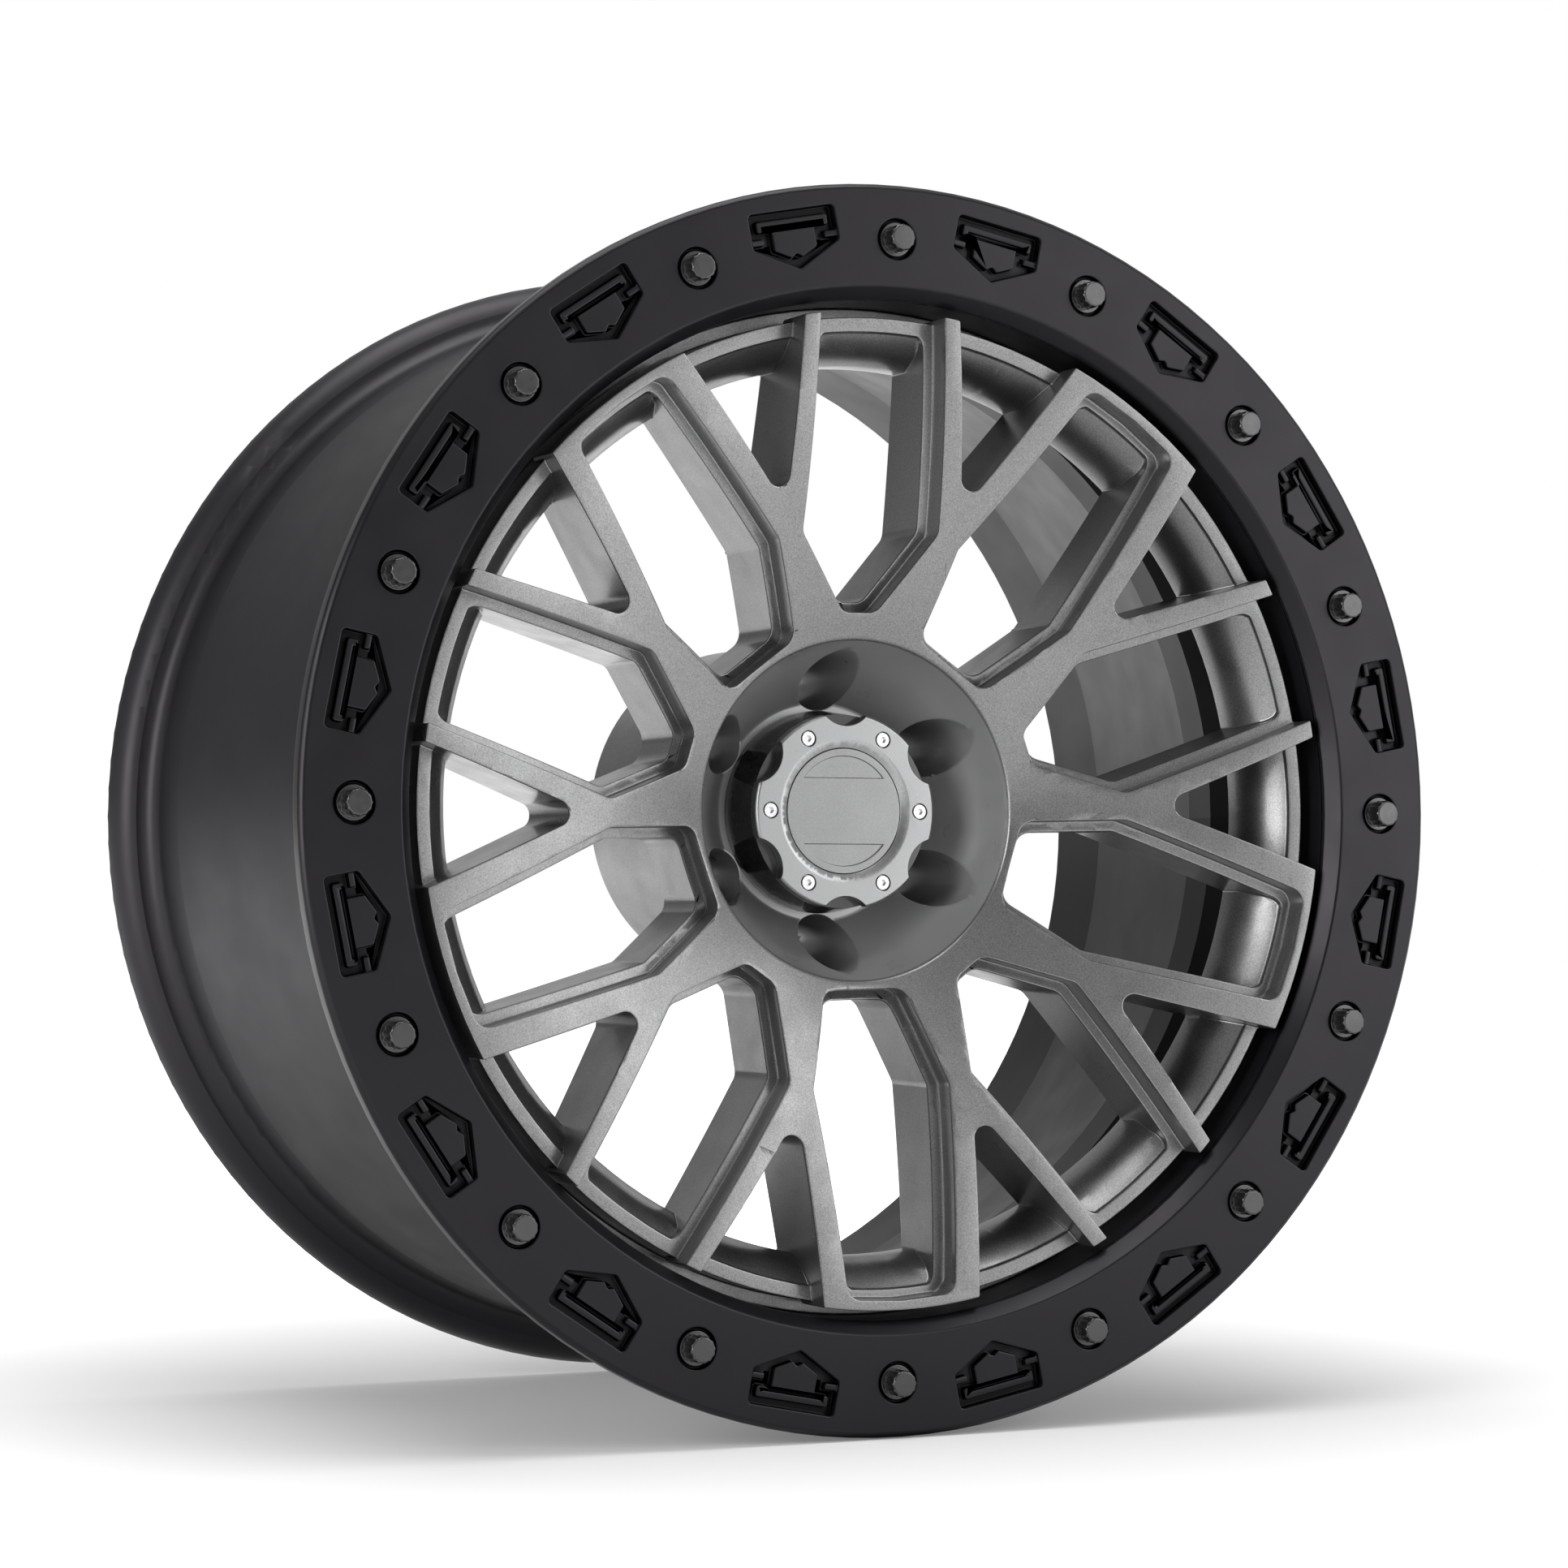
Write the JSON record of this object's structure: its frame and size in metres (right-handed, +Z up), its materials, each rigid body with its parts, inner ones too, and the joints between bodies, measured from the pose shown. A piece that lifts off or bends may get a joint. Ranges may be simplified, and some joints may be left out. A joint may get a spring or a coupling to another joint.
{
  "type": "car wheel",
  "caption": "Deep-dish off-road car wheel with forked mesh spokes in gunmetal, satin black rim, a bolted outer bead ring with house-shaped pockets and a screwed centre cap.",
  "frame": {"origin": "centre of the hub pad, the rear face that seats on the car's hub", "axes": "wheel axis along Y, front of the wheel faces -Y, +Z up"},
  "size_m": [0.5535, 0.308, 0.5536],
  "materials": {
    "gunmetal_paint": "metallic satin",
    "satin_black": "satin",
    "bolt_black": "gloss black",
    "plain_steel": "plain",
    "cap_black": "gloss black",
    "cap_silver": "fine satin metallic",
    "cap_disc_grey": "fine satin metallic",
    "screw_steel": "polished",
    "seal_rubber": "matt"
  },
  "bodies": {
    "root": {"hub": "gunmetal_paint", "spoke_stems": "gunmetal_paint", "spoke_arms": "gunmetal_paint", "spoke_rim": "gunmetal_paint", "barrel": "satin_black", "bead_ring": "satin_black", "ring_bolts": "bolt_black", "ring_inserts": "plain_steel", "cap_body": "cap_black", "cap_bezel": "cap_silver", "cap_disc": "cap_disc_grey", "cap_screws": "screw_steel", "cap_seal": "seal_rubber", "cap_clip": "plain_steel"}
  },
  "joints": []
}
